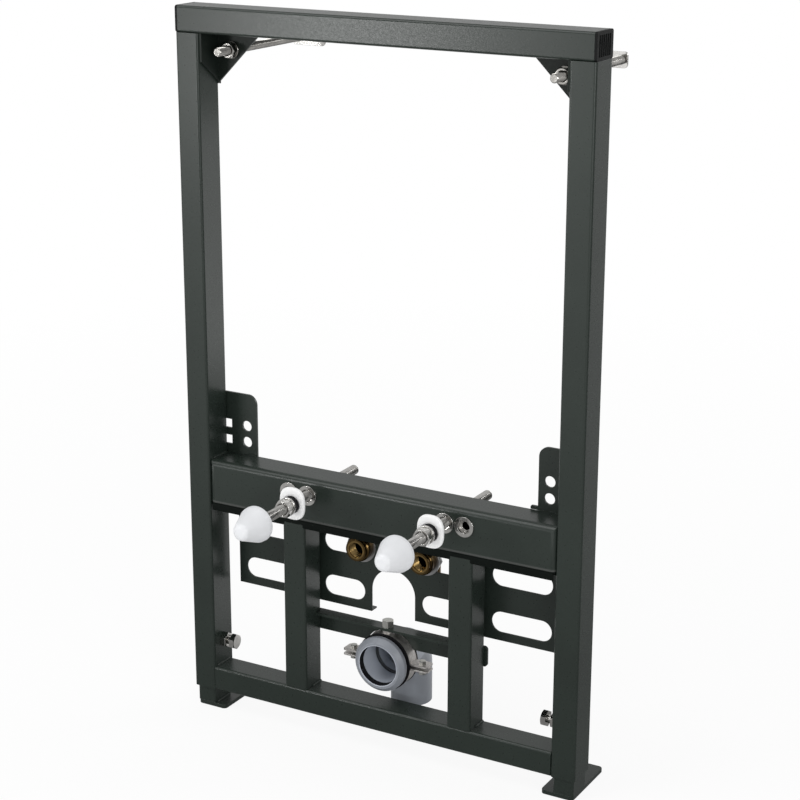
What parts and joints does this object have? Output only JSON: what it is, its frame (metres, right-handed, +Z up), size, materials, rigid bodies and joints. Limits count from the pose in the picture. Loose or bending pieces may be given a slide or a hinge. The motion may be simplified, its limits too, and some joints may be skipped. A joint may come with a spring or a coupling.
{
  "type": "bidet installation frame",
  "caption": "Free-standing steel frame for a wall-hung bidet, on legs that pull out, with studs, water elbows and a drain bend in a clamp.",
  "frame": {"origin": "on the floor, in the middle of the whole assembly", "axes": "+Z up, -Y towards the room and the bidet, +X to the right seen from the room"},
  "size_m": [0.515, 0.322, 0.855],
  "materials": {
    "anthracite_paint": "satin powder coat",
    "zinc": "zinc plated, satin",
    "brass": "as cast and turned",
    "grey_metal": "plain",
    "grey_plastic": "satin",
    "black_rubber": "matt",
    "white_plastic": "gloss",
    "black_plastic": "fine ribs"
  },
  "bodies": {
    "frame": {"top_rail": "anthracite_paint", "left_post": "anthracite_paint", "right_post": "anthracite_paint", "mid_rail": "anthracite_paint", "bottom_rail": "anthracite_paint", "left_inner_post": "anthracite_paint", "right_inner_post": "anthracite_paint", "left_gusset": "anthracite_paint", "right_gusset": "anthracite_paint", "left_side_bracket": "anthracite_paint", "right_side_bracket": "anthracite_paint", "slotted_plate": "anthracite_paint", "drain_bar": "anthracite_paint", "left_clamp_bolt": "zinc", "right_clamp_bolt": "zinc", "clamp_weld_nuts": "zinc", "left_wall_rod": "zinc", "right_wall_rod": "zinc", "left_wall_lug": "zinc", "right_wall_lug": "zinc", "rod_nuts": "zinc", "clamp_upper_half": "zinc", "clamp_lower_half": "zinc", "clamp_screws": "zinc", "clamp_hanger_bolt": "zinc", "left_stud": "zinc", "right_stud": "zinc", "stud_inserts": "zinc", "stud_nuts": "zinc", "left_water_elbow": "brass", "right_water_elbow": "brass", "elbow_lock_nuts": "grey_metal", "drain_elbow": "grey_plastic", "clamp_lining": "black_rubber", "drain_seal": "black_rubber", "stud_bushes": "white_plastic", "left_stud_cap": "white_plastic", "right_stud_cap": "white_plastic", "left_end_cap": "black_plastic", "right_end_cap": "black_plastic"},
    "left_leg_unit": {"left_leg": "anthracite_paint", "left_foot": "anthracite_paint"},
    "right_leg_unit": {"right_leg": "anthracite_paint", "right_foot": "anthracite_paint"}
  },
  "joints": [
    {"name": "left_leg_slide", "type": "slide", "parent": "frame", "child": "left_leg_unit", "axis": [0, 0, -1], "range_m": [-0.015, 0.18]},
    {"name": "right_leg_slide", "type": "slide", "parent": "frame", "child": "right_leg_unit", "axis": [0, 0, -1], "range_m": [-0.015, 0.18]}
  ]
}
